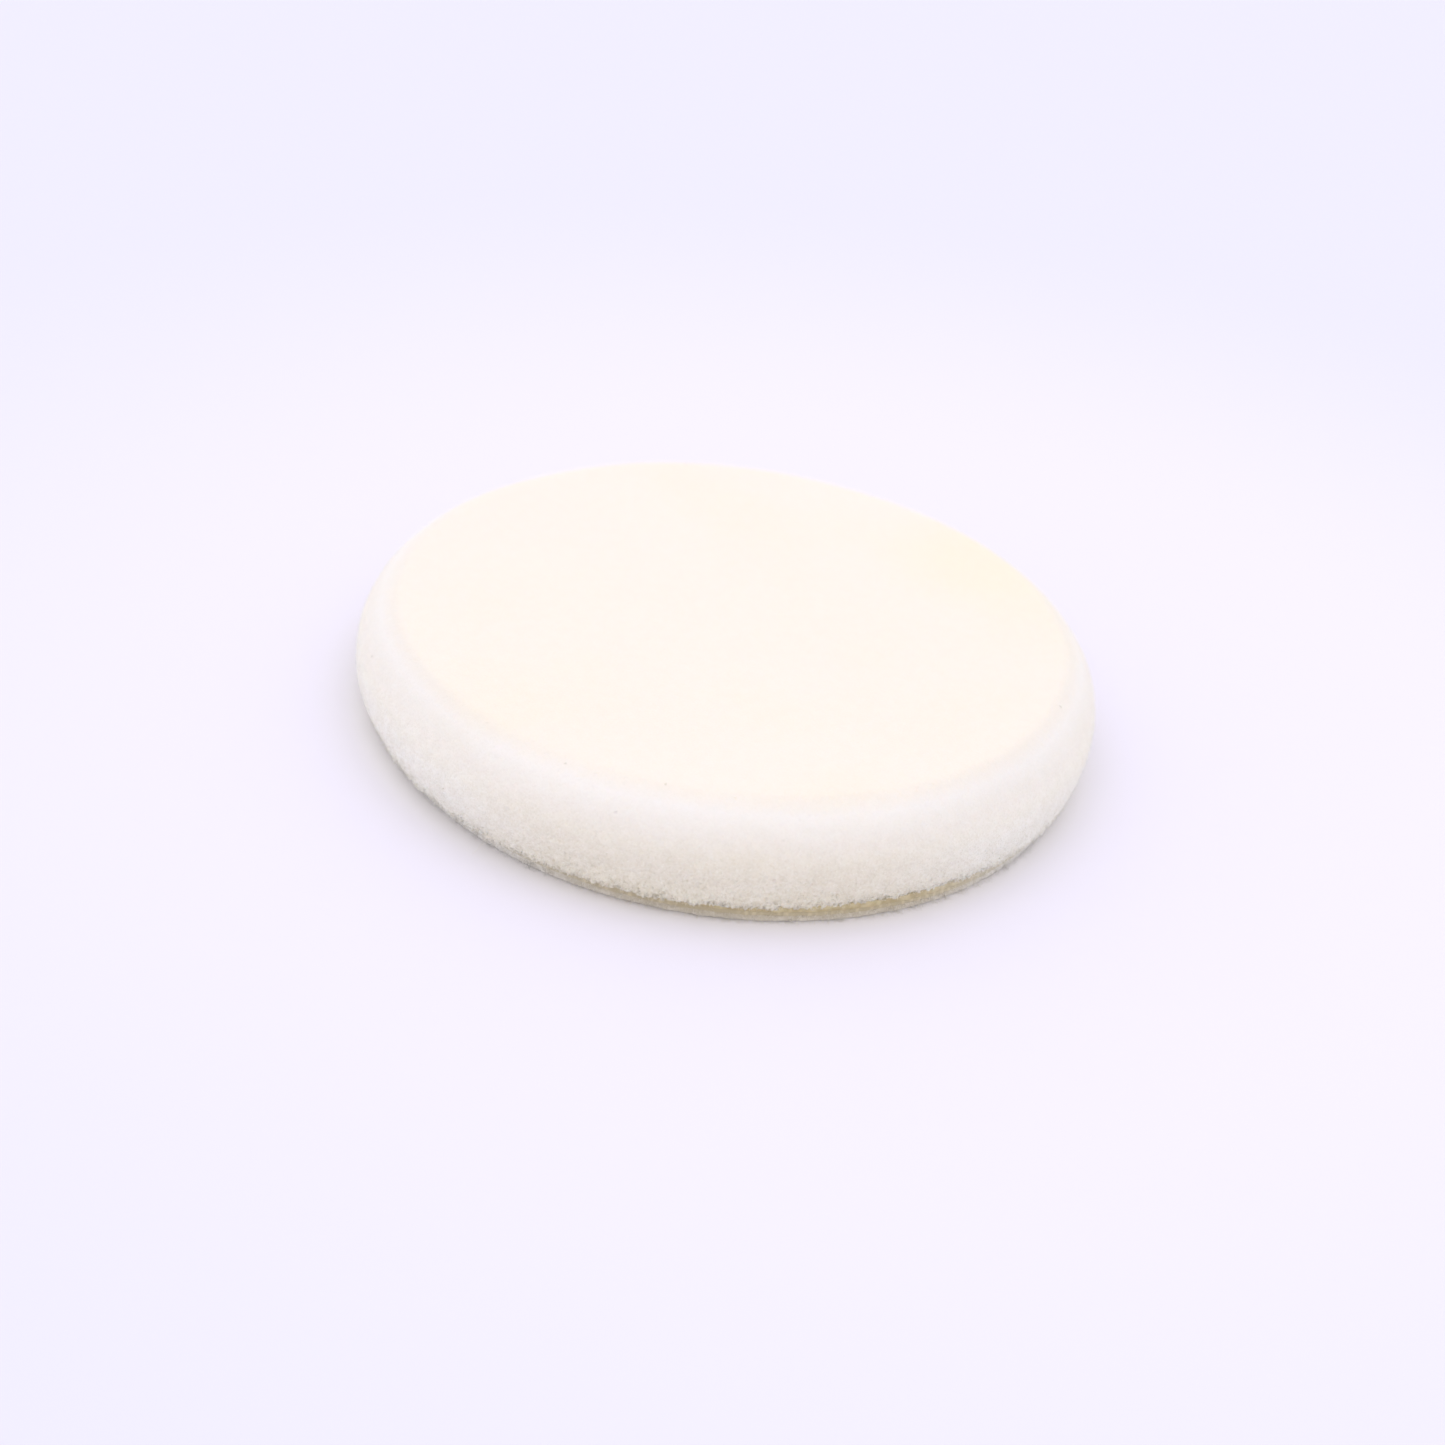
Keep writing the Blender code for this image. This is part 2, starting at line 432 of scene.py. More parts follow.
def tubes(paths, radii, across, sides):
    """Closed tubes along many paths at once: paths is (tube, step, xyz) and radii (tube, step).
    across gives each tube a direction that its path never runs along."""
    tangent = np.gradient(paths, axis=1)
    tangent /= np.linalg.norm(tangent, axis=2, keepdims=True)
    side = np.cross(tangent, across[:, None, :])
    side /= np.linalg.norm(side, axis=2, keepdims=True)
    up = np.cross(side, tangent)
    angle = tau * np.arange(sides) / sides
    ring = side[:, :, None] * np.cos(angle)[:, None] + up[:, :, None] * np.sin(angle)[:, None]
    vertices = paths[:, :, None] + radii[:, :, None, None] * ring
    many, steps = paths.shape[:2]
    one = []
    for step in range(steps - 1):
        for i in range(sides):
            a, b = step * sides + i, step * sides + (i + 1) % sides
            one += [(a, b, a + sides), (b, b + sides, a + sides)]
    last = (steps - 1) * sides
    for i in range(1, sides - 1):
        one += [(0, i + 1, i), (last, last + i, last + i + 1)]
    offsets = np.arange(many)[:, None, None] * (steps * sides)
    triangles = (np.array(one)[None, :, ::-1] + offsets).reshape(-1, 3)
    return vertices.reshape(-1, 3), triangles


# ---------------------------------------------------------------- materials


def node_maker(tree):
    """Empties a node tree and returns a helper that adds nodes to it:
    node(type, {input: value or socket}, settings)."""
    tree.nodes.clear()

    def node(kind, inputs=None, **settings):
        made = tree.nodes.new("ShaderNode" + kind)
        for key, value in settings.items():
            setattr(made, key, value)
        for key, value in (inputs or {}).items():
            if isinstance(value, bpy.types.NodeSocket):
                tree.links.new(value, made.inputs[key])
            else:
                made.inputs[key].default_value = value
        return made

    return node


def new_material(name):
    """An empty node material and the helper that adds nodes to it."""
    material = bpy.data.materials.new(name)
    material.use_nodes = True
    return material, node_maker(material.node_tree)


def millimetres(node):
    """Object coordinates in millimetres, so that texture scales read as sizes."""
    place = node("TexCoord")
    scaled = node("VectorMath", {0: place.outputs["Object"], 1: (1000, 1000, 1000)}, operation="MULTIPLY")
    return scaled.outputs[0]


def noise_of(node, vector, size_mm, detail):
    """Soft noise from 0 to 1, whose bumps are about one size across."""
    found = node("TexNoise", {"Vector": vector, "Scale": 1 / size_mm, "Detail": detail})
    return found.outputs["Fac"]


def spread(node, value, low, high, to_low=0.0, to_high=1.0, linear=False):
    """Maps low..high to to_low..to_high without overshoot, smoothly or in a straight line."""
    found = node(
        "MapRange",
        {"Value": value, "From Min": low, "From Max": high, "To Min": to_low, "To Max": to_high},
        interpolation_type="LINEAR" if linear else "SMOOTHSTEP",
    )
    return found.outputs["Result"]


def ramp(node, share, stops):
    """A colour that runs through (position, colour) stops as share goes from 0 to 1."""
    found = node("ValToRGB", {"Fac": share})
    line = found.color_ramp.elements
    for position, colour in stops[1:-1]:
        line.new(position).color = (*colour, 1)
    for stop, (position, colour) in zip((line[0], line[-1]), (stops[0], stops[-1])):
        stop.position, stop.color = position, (*colour, 1)
    return found.outputs["Color"]


def mix(node, share, first, second, blend="MIX"):
    """Mixes two colours by a share from 0 to 1."""
    found = node("Mix", {0: share, 6: first, 7: second}, data_type="RGBA", blend_type=blend)
    return found.outputs[2]


def calc(node, operation, first, second):
    """A sum, product or other operation on two numbers or sockets."""
    return node("Math", {0: first, 1: second}, operation=operation).outputs[0]


def flattened(node, place):
    """A place without its height."""
    return node("VectorMath", {0: place, 1: (1, 1, 0)}, operation="MULTIPLY").outputs[0]


def axis_distance(node, place):
    """Distance from the pad's axis."""
    return node("VectorMath", {0: flattened(node, place)}, operation="LENGTH").outputs["Value"]


def near_side(node, place, degrees):
    """From 0 to 1: whether a point lies near the pad's edge, on the side that faces a direction."""
    flat = flattened(node, place)
    outward = node("VectorMath", {0: flat}, operation="NORMALIZE").outputs[0]
    way = radians(degrees)
    facing = node("VectorMath", {0: outward, 1: (cos(way), sin(way), 0)}, operation="DOT_PRODUCT")
    side = spread(node, facing.outputs["Value"], *SIDE_FACING)
    return calc(node, "MULTIPLY", side, spread(node, axis_distance(node, place), *SIDE_RADII))


def foam_material():
    """Cream open-cell foam: fine cells, soft clumps, a little yellowing, and a fully matte surface. Its
    colour also holds painted light: tones by height, shade on the front and on the shoulder's two sides,
    shade in the cell pits and highlights on single struts.
    """
    material, node = new_material("cream_foam")
    place = millimetres(node)
    height = node("SeparateXYZ", {0: place}).outputs["Z"]
    rough = spread(node, height, *FOAM_ROUGH_HEIGHTS, *FOAM_ROUGH_SHARES)
    cells = node("TexVoronoi", {"Vector": place, "Scale": 1 / FOAM_PIT_SIZE, "Randomness": 1.0})
    pits = spread(node, cells.outputs["Distance"], 0.15, 0.60, 1.0, 0.0)
    grain = noise_of(node, place, FOAM_GRAIN_SIZE, detail=3.0)
    clumps = noise_of(node, place, FOAM_CLUMP_SIZE, detail=3.0)
    drift = noise_of(node, place, FOAM_DRIFT_SIZE, detail=1.0)

    # Tones by height, with painted light: a lighter lower wall and a painted highlight band high on the
    # shoulder
    colour = ramp(node, spread(node, height, *FOAM_TONE_HEIGHTS, linear=True), FOAM_TONES_AND_PAINTED_LIGHT)
    # Painted shade: the lower front wall darker and warmer
    shaded_front = near_side(node, place, FRONT_SHADE_SIDE)
    front_shade = calc(node, "MULTIPLY", shaded_front, spread(node, height, *FRONT_SHADE_HEIGHTS, 1.0, 0.0))
    colour = mix(node, front_shade, colour, FRONT_SHADE_TINT, "MULTIPLY")
    # Painted shade: the shoulder a little greyer on the two sides
    outward = node("VectorMath", {0: flattened(node, place)}, operation="NORMALIZE").outputs[0]
    sideways = calc(node, "ABSOLUTE", node("SeparateXYZ", {0: outward}).outputs["X"], 0.0)
    fades_in, fades_out = SHOULDER_HEIGHTS
    sides = spread(node, sideways, *SHOULDER_SIDES)
    side_shade = calc(node, "MULTIPLY", sides, spread(node, height, *fades_in))
    side_shade = calc(node, "MULTIPLY", side_shade, spread(node, height, *fades_out, 1.0, 0.0))
    colour = mix(node, side_shade, colour, SHOULDER_SIDE_SHADE, "MULTIPLY")
    colour = mix(node, spread(node, drift, 0.50, 0.75, 0.0, 0.35), colour, FOAM_DRIFT, "MULTIPLY")
    apart = node("VectorMath", {0: place, 1: YELLOWED_MIDDLE}, operation="DISTANCE").outputs["Value"]
    yellowed = spread(node, apart, *YELLOWED_REACH, 1.0, 0.0)
    colour = mix(node, yellowed, colour, YELLOWED_TINT, "MULTIPLY")
    # Painted shade in the cell pits and hollows, with random mottling from the clumps and grain
    shade = calc(node, "MULTIPLY", pits, 0.45)
    shade = calc(node, "ADD", shade, spread(node, clumps, 0.35, 0.70, 0.35, 0.0))
    shade = calc(node, "ADD", shade, spread(node, grain, 0.30, 0.70, 0.35, 0.0))
    colour = mix(node, calc(node, "MULTIPLY", shade, rough), colour, FOAM_SHADE, "MULTIPLY")
    # Painted highlights on single struts
    strut_highlights = calc(node, "MULTIPLY", spread(node, grain, 0.58, 0.72, 0.0, 0.5), rough)
    colour = mix(node, strut_highlights, colour, FOAM_STRUT_HIGHLIGHT)

    relief = calc(node, "SUBTRACT", calc(node, "MULTIPLY", grain, 0.8), pits)
    strength = calc(node, "MULTIPLY", rough, 0.55)
    bump = node("Bump", {"Height": relief, "Strength": strength, "Distance": FOAM_BUMP})
    shader = node(
        "BsdfPrincipled",
        {
            "Base Color": colour,
            "Roughness": spread(node, grain, 0.3, 0.7, 0.90, 1.0),
            "Specular IOR Level": 0.25,
            "Subsurface Weight": 0.25,
            "Subsurface Radius": (1.0, 0.8, 0.6),
            "Subsurface Scale": 1.2 * MM,
            "Sheen Weight": 0.12,
            "Sheen Roughness": 0.6,
            "Normal": bump.outputs["Normal"],
        },
    )
    node("OutputMaterial", {"Surface": shader.outputs["BSDF"]})
    return material


def glue_material():
    """Hot-melt glue that has set to a slightly glossy film, with a tone that varies at random. On one side
    it is painted a darker olive-amber, as shade in the recess under the foam's rim.
    """
    material, node = new_material("amber_glue")
    place = millimetres(node)
    thick = noise_of(node, place, GLUE_THICK_SIZE, detail=3.0)
    fine = noise_of(node, place, GLUE_FINE_SIZE, detail=2.0)
    thin_tone = mix(node, spread(node, thick, 0.35, 0.65), *GLUE_THIN)
    amber_shaded_tone = mix(node, spread(node, thick, 0.35, 0.65), *GLUE_AMBER_SHADED)
    # Painted shade: darker olive-amber glue round one side
    colour = mix(node, near_side(node, place, RECESS_SHADE_SIDE), thin_tone, amber_shaded_tone)
    bump = node("Bump", {"Height": fine, "Strength": 0.35, "Distance": GLUE_BUMP})
    shader = node(
        "BsdfPrincipled",
        {
            "Base Color": colour,
            "Roughness": spread(node, fine, 0.3, 0.7, 0.38, 0.62),
            "Subsurface Weight": 0.2,
            "Subsurface Radius": (1.0, 0.6, 0.3),
            "Subsurface Scale": 0.5 * MM,
            "Normal": bump.outputs["Normal"],
        },
    )
    node("OutputMaterial", {"Surface": shader.outputs["BSDF"]})
    return material


def knit_material():
    """Knitted ground: ribs of interlocked stitches, beige, with painted shade between the stitches and,
    round one side, painted shade of the recess under the foam's rim.
    """
    material, node = new_material("beige_knit")
    place = millimetres(node)
    bands = []
    for direction, scale, distortion in KNIT_BANDS:
        look = {"Vector": place, "Scale": scale, "Distortion": distortion}
        wave = node("TexWave", look | {"Detail": 2.0, "Detail Scale": 2.0}, bands_direction=direction)
        bands.append(wave.outputs["Fac"])
    weave = calc(node, "MULTIPLY", *bands)
    fuzz = noise_of(node, place, KNIT_FUZZ_SIZE, detail=3.0)
    colour = mix(node, spread(node, weave, 0.1, 0.8), *KNIT_TONES)
    colour = mix(node, spread(node, fuzz, 0.3, 0.7, 0.0, 0.3), colour, KNIT_FUZZ)
    # Painted shade round one side
    colour = mix(node, near_side(node, place, RECESS_SHADE_SIDE), colour, KNIT_RECESS_SHADE, "MULTIPLY")
    relief = calc(node, "ADD", weave, fuzz)
    bump = node("Bump", {"Height": relief, "Strength": 0.7, "Distance": KNIT_BUMP})
    shader = node(
        "BsdfPrincipled",
        {
            "Base Color": colour,
            "Roughness": spread(node, fuzz, 0.3, 0.7, 0.80, 0.95),
            "Sheen Weight": 0.2,
            "Normal": bump.outputs["Normal"],
        },
    )
    node("OutputMaterial", {"Surface": shader.outputs["BSDF"]})
    return material


def yarn_material(name, tones, recess_shade):
    """Nylon yarn: off-white, with a tone that changes from loop to loop and a faint silky shine. Its last
    argument is a tint laid round one side as painted shade of the recess under the foam's rim, and near
    the cut edge the pile's foot is painted lighter, as light thrown up from the table."""
    material, node = new_material(name)
    place = millimetres(node)
    tone = noise_of(node, place, YARN_TONE_SIZE, detail=1.0)
    fibre = noise_of(node, place, YARN_FIBRE_SIZE, detail=2.0)
    colour = mix(node, spread(node, tone, 0.3, 0.7), *tones)
    # Painted shade round one side
    colour = mix(node, near_side(node, place, RECESS_SHADE_SIDE), colour, recess_shade, "MULTIPLY")
    # Painted light on the pile's foot near the cut edge, thrown up from the table
    height = node("SeparateXYZ", {0: place}).outputs["Z"]
    foot_bounce = spread(node, height, 0.0, FOOT_BOUNCE_HEIGHT, FOOT_BOUNCE_SHARE, 0.0)
    foot_bounce = calc(node, "MULTIPLY", foot_bounce, spread(node, axis_distance(node, place), *FOOT_BOUNCE_RADII))
    colour = mix(node, foot_bounce, colour, FOOT_BOUNCE_TONE)
    bump = node("Bump", {"Height": fibre, "Strength": 0.4, "Distance": YARN_BUMP})
    shader = node(
        "BsdfPrincipled",
        {
            "Base Color": colour,
            "Roughness": spread(node, fibre, 0.3, 0.7, 0.45, 0.65),
            "Sheen Weight": 0.25,
            "Normal": bump.outputs["Normal"],
        },
    )
    node("OutputMaterial", {"Surface": shader.outputs["BSDF"]})
    return material


def floor_material():
    """Smooth lavender-white table, painted a little greyer far away as the light falls off, and painted a
    little lighter against the pad as light thrown from the foam.
    """
    material, node = new_material("pale_table")
    place = millimetres(node)
    away = node("VectorMath", {0: place, 1: TABLE_LIGHT_MIDDLE}, operation="DISTANCE").outputs["Value"]
    # Painted pool of light: lighter round the middle, dimmer and greyer far away
    colour = mix(node, spread(node, away, *TABLE_LIGHT_REACH), TABLE_NEAR, TABLE_FAR_DIMMED)
    for reach, tint in TABLE_GLOWS:
        share = spread(node, axis_distance(node, place), *reach, 1.0, 0.0)
        colour = mix(node, share, colour, tint, "MULTIPLY")
    look = {"Base Color": colour, "Roughness": 0.75, "Specular IOR Level": 0.2}
    shader = node("BsdfPrincipled", look)
    node("OutputMaterial", {"Surface": shader.outputs["BSDF"]})
    return material


# ---------------------------------------------------------------- the pad's layers


def flat_rings(outer, spacing, height):
    """(radius, height) rings of a flat side, from near the middle out to just inside the outer radius."""
    count = max(2, round(outer / spacing))
    return [(outer * step / count, height) for step in range(1, count)]


def ring_counts(section, flank):
    """Segments for each ring: the full number on the flank, then halved where a flat ring gets short."""
    counts = [0] * len(section)
    for rings in (range(flank.start, -1, -1), range(flank.stop - 1, len(section))):
        count = TURN_SEGMENTS
        for ring in rings:
            short = tau * section[ring][0] / count < LARGEST_SEGMENT / 2
            if short and count % 2 == 0 and ring not in flank:
                count //= 2
            counts[ring] = count
    for ring in flank:
        counts[ring] = TURN_SEGMENTS
    return counts


def foam_section():
    """The foam's half section as rings, and which of them belong to the shoulder and the side wall."""
    corners = cad_outline("foam_disc")
    flank_corners = corners[1:-1]
    lead_in = flank_corners[0] - (flank_corners[1][0] - flank_corners[0][0], 0)
    flank = smooth_path(flank_corners, lead_in, FLANK_SPACING)
    face = flat_rings(flank[0][0], FACE_SPACING, flank[0][1])
    under = flat_rings(flank[-1][0], UNDER_SPACING, flank[-1][1])[::-1]
    section = np.array([*face, *flank, *under])
    return section, range(len(face), len(face) + len(flank))


def direction_bump(points, centre, half_width):
    """A smooth hill from 0 to 1 over the directions round a centre, both in degrees."""
    angle = np.degrees(np.arctan2(points[:, 1], points[:, 0]))
    apart = (angle - centre + 180) % 360 - 180
    return np.exp(-((apart / half_width) ** 2))


def foam_relief(points, normals, lower_rim):
    """How far each point of the foam stands out of the smooth turned shape."""
    heights, shares = np.array(ROUGHNESS_BY_HEIGHT).T
    rough = np.interp(points[:, 2] - lower_rim, heights, shares)
    nearest, second = cell_noise(points, CELL_SIZE, channel=1)
    walls = 1 - smooth_step(second - nearest, 0.0, CELL_WALL)
    cells = CELL_DEPTH * (walls - 0.5)
    clumps = CLUMP_HEIGHT * soft_noise(points, CLUMP_SIZE, channel=11)
    sag = SAG_HEIGHT * soft_noise(points, SAG_SIZE, channel=17)
    under = normals[:, 2] < -0.5
    grain = GRAIN_HEIGHT * np.random.default_rng(GRAIN_SEED).normal(size=len(points))
    return np.where(under, UNDER_RELIEF, 1.0) * (rough * (cells + clumps + grain) + sag)


def torn_rim(points, lower_rim):
    """Outward and downward shift of the foam near its cut lower rim: lumps, and slow sags."""
    above = points[:, 2] - lower_rim
    near_rim = 1 - smooth_step(above, 0, TEAR_REACH)
    lumps = [soft_noise(points, size, channel=23 + i) for i, size in enumerate(TEAR_SIZES)]
    out = TEAR_HEIGHT * near_rim * (lumps[0] + TEAR_SMALL * lumps[1])
    lumps = [soft_noise(points, size, channel=29 + i) for i, size in enumerate(TEAR_SIZES)]
    down = TEAR_DOWN * TEAR_HEIGHT * near_rim * (lumps[0] + TEAR_SMALL * lumps[1])
    hang = 1 - smooth_step(above, 0, SAG_REACH)
    for centre, half_width, sag_out, sag_down in RIM_SAGS:
        share = hang * direction_bump(points, centre, half_width)
        out = out + sag_out * share
        down = down + sag_down * share
    return out, down


def build_foam(material):
    """The foam disc as one closed skin."""
    section, flank = foam_section()
    counts = ring_counts(section, flank)
    points, normals, triangles = turned_rings(section, counts)
    lower_rim = section[-1][1]
    random = np.random.default_rng(FOAM_SEED)
    radius = np.hypot(points[:, 0], points[:, 1])
    across = random.normal(size=points.shape)
    across -= (across * normals).sum(1)[:, None] * normals
    across[(normals[:, 2] < -0.5) | (radius < LARGEST_SEGMENT)] = 0
    relief = foam_relief(points, normals, lower_rim)
    moved = points + normals * relief[:, None] + GRAIN_SHIFT * across
    out, down = torn_rim(points, lower_rim)
    ragged = TEAR_GRAIN * (1 - smooth_step(points[:, 2] - lower_rim, TEAR_FULL, TEAR_REACH))
    out += ragged * random.normal(size=len(points))
    down += ragged * random.normal(size=len(points))
    reach = smooth_step(radius, section[-1][0] - SAG_REACH, section[-1][0] + RIM_WIDTH)
    outward = points / np.maximum(radius, TINY)[:, None] * (1, 1, 0)
    moved += outward * (reach * out)[:, None]
    moved[:, 2] -= reach * down
    return make_mesh("foam_disc_cells", moved, triangles, material)


def build_strands(material):
    """Broken cell struts on the side wall, thickest along the torn rim, as short curved hairs."""
    section, flank = foam_section()
    wall = section[flank.start : flank.stop][::-1]
    random = np.random.default_rng(STRAND_SEED)
    angle = random.uniform(0, tau, STRANDS)
    climb = random.exponential(STRAND_CLIMB, STRANDS).clip(0, STRAND_TOP)
    outward = np.stack([np.cos(angle), np.sin(angle), np.zeros(STRANDS)], axis=1)
    along = np.stack([-np.sin(angle), np.cos(angle), np.zeros(STRANDS)], axis=1)
    upward = np.tile([0.0, 0.0, 1.0], (STRANDS, 1))
    height = wall[0][1] + 0.1 * MM + climb
    root = outward * np.interp(height, wall[:, 1], wall[:, 0])[:, None]
    root[:, 2] = height
    out, down = torn_rim(root, wall[0][1])
    root += outward * (out - STRAND_ROOT)[:, None] - upward * down[:, None]
    swing = random.normal(0, 1, (STRANDS, 3)) * STRAND_SWING
    lean_out, lean_up = STRAND_LEAN
    lean = outward * (lean_out + abs(swing[:, :1])) + along * swing[:, 1:2]
    lean = lean + upward * (swing[:, 2:3] + lean_up)
    lean /= np.linalg.norm(lean, axis=1)[:, None]
    curl = np.cross(lean, random.normal(0, 1, (STRANDS, 3)))
    curl /= np.linalg.norm(curl, axis=1)[:, None]
    loss, full_loss = STRAND_SHORTER
    shorter = 1 - loss * smooth_step(climb, 0, full_loss)
    length = random.uniform(*STRAND_LENGTH, STRANDS) * shorter
    t = np.linspace(0, 1, STRAND_STEPS)[None, :, None]
    span = length[:, None, None]
    swirl = STRAND_CURL * curl[:, None] * np.sin(pi * t) * t
    paths = root[:, None] + span * (lean[:, None] * t + swirl)
    taper = np.linspace(*STRAND_TAPER, STRAND_STEPS)[None]
    radii = STRAND_RADIUS * random.uniform(0.7, 1.3, (STRANDS, 1)) * taper
    vertices, triangles = tubes(paths, radii, np.cross(lean, curl), 3)
    return make_mesh("foam_strands", vertices, triangles, material)


def stretch_fabric(points):
    """Moves points of the fabric outward where its edge reaches further out."""
    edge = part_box("backing_cloth")[1].x
    way = radians(FABRIC_REACH_WAY)
    flat = points * (1, 1, 0)
    radius = np.linalg.norm(flat, axis=-1, keepdims=True)
    outward = flat / np.maximum(radius, TINY)
    facing = np.maximum(outward @ np.array([cos(way), sin(way), 0]), 0)[..., None]
    return points + outward * FABRIC_REACH * facing**2 * (radius / edge) ** 4


def layer_disc(edge, top, bottom, squareness):
    """Points, normals and triangles of a flat disc whose edge is rounded: squareness 1 is round, and 0 is
    square."""
    middle, half = (top + bottom) / 2, (top - bottom) / 2
    section = flat_rings(edge - half, UNDER_SPACING, top)
    for a in np.linspace(0, pi, LAYER_EDGE_STEPS):
        out, up = sin(a) ** squareness, np.sign(cos(a)) * abs(cos(a)) ** squareness
        section.append((edge - half + half * out, middle + half * up))
    section += flat_rings(edge - half, UNDER_SPACING, bottom)[::-1]
    return turned_rings(np.array(section), [LAYER_SEGMENTS] * len(section))


def fuzz_edge(points, edge, amount):
    """Moves points near a fabric's cut edge in and out by up to about the amount."""
    radius = np.hypot(points[:, 0], points[:, 1])
    near_edge = smooth_step(radius, edge - 1.5 * MM, edge - 0.2 * MM)
    fine, broad = EDGE_YARN_SIZES
    yarn = soft_noise(points, fine, channel=51) + 0.5 * soft_noise(points, broad, channel=53)
    outward = points / np.maximum(radius, TINY)[:, None] * (1, 1, 0)
    return points + outward * (near_edge * amount * yarn)[:, None]


def build_glue(material):
    """The glue film, whose edge comes out unevenly from under the foam."""
    low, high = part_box("adhesive_film")
    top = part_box("foam_disc")[0].z + GLUE_SOAK
    points, _, triangles = layer_disc(high.x, top, low.z - GLUE_OVERLAP, GLUE_SQUARENESS)
    moved = fuzz_edge(points, high.x, GLUE_WANDER)
    return make_mesh("glue_film_edge", stretch_fabric(moved), triangles, material)


def build_cloth(material):
    """The knitted ground cloth, ribbed at its cut edge."""
    low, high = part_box("backing_cloth")
    top, bottom = high.z + CLOTH_OVERLAP, low.z - CLOTH_OVERLAP
    points, _, triangles = layer_disc(high.x, top, bottom, CLOTH_SQUARENESS)
    moved = fuzz_edge(points, high.x, CLOTH_WANDER)
    return make_mesh("knitted_ground", stretch_fabric(moved), triangles, material)


def build_mat(material):
    """Matted fibres between the loops, from the ground cloth down to just above the loops' tips."""
    low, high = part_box("loop_pile")
    bottom = low.z + MAT_FLOOR
    points, normals, triangles = layer_disc(high.x, high.z + MAT_ROOF, bottom, MAT_SQUARENESS)
    moved = fuzz_edge(points, high.x, MAT_FUZZ)
    radius = np.hypot(points[:, 0], points[:, 1])
    depth = np.clip((high.z - points[:, 2]) / (high.z - low.z - MAT_FLOOR), 0, 1)
    hanging = smooth_step(radius, high.x - 4 * MM, high.x - 0.6 * MM)
    moved[:, 2] -= hanging * (MAT_FLOOR - MAT_EDGE_FLOOR) * depth
    outward = points / np.maximum(radius, TINY)[:, None] * (1, 1, 0)
    flaring = smooth_step(radius, high.x - 2 * MM, high.x - 0.5 * MM)
    moved += outward * (flaring * MAT_FLARE * depth)[:, None]
    below = (normals[:, 2] < 0.5) & (radius < high.x - 3 * MM)
    moved[:, 2] += MAT_FUZZ * below * soft_noise(points, MAT_FUZZ_SIZE, channel=57)
    return make_mesh("loop_pile_mat", stretch_fabric(moved), triangles, material)


def loop_places(inner, outer):
    """Feet of the loops between two radii, on the staggered grid of the knit."""
    across, along = LOOP_PITCH
    columns = np.arange(-int(outer / across) - 1, int(outer / across) + 2)
    rows = np.arange(-int(outer / along) - 1, int(outer / along) + 2)
    column, row = (a.ravel() for a in np.meshgrid(columns, rows))
    places = np.stack([across * (column + 0.5 * (row % 2)), along * row], axis=1)
    radius = np.hypot(*places.T)
    return places[(radius >= inner) & (radius < outer)]


def build_loops(name, material, inner, outer, steps, seed):
    """Yarn loops between two radii, which hang from the ground cloth to the loop face."""
    low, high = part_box("loop_pile")
    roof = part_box("backing_cloth")[0].z + 0.05 * MM
    random = np.random.default_rng(seed)
    places = loop_places(inner, outer)
    count = len(places)
    places = places + random.normal(0, LOOP_PLACE_SPREAD, (count, 2))
    turn = random.normal(0.0, LOOP_TURN_SPREAD, count)
    width = random.uniform(*LOOP_WIDTH, count) / 2
    floor = low.z + LOOP_YARN_RADIUS + random.uniform(0, LOOP_TIP_SPREAD, count)
    lean = random.normal((0.3 * LOOP_LEAN, LOOP_LEAN), LOOP_LEAN_SPREAD, (count, 2))
    t = np.linspace(0, pi, steps)
    swell = np.cos(t)[None] * (1 + LOOP_BELLY * np.sin(t)[None])
    drop = np.sin(t)[None] ** LOOP_BLUNTNESS
    paths = np.empty((count, steps, 3))
    paths[:, :, 0] = places[:, :1] + (width * np.cos(turn))[:, None] * swell + lean[:, :1] * drop
    paths[:, :, 1] = places[:, 1:] + (width * np.sin(turn))[:, None] * swell + lean[:, 1:] * drop
    paths[:, :, 2] = roof + (floor - roof)[:, None] * drop
    limit = high.x + RIM_LOOPS_OUT
    radius = np.hypot(paths[:, :, 0], paths[:, :, 1])
    paths[:, :, :2] *= np.minimum(1, limit / radius)[:, :, None]
    across = np.stack([-np.sin(turn), np.cos(turn), np.full(count, 0.25)], axis=1)
    radii = LOOP_YARN_RADIUS * random.uniform(0.8, 1.15, (count, 1)) * np.ones((1, steps))
    vertices, triangles = tubes(stretch_fabric(paths), radii, across, 3)
    return make_mesh(name, vertices, triangles, material)


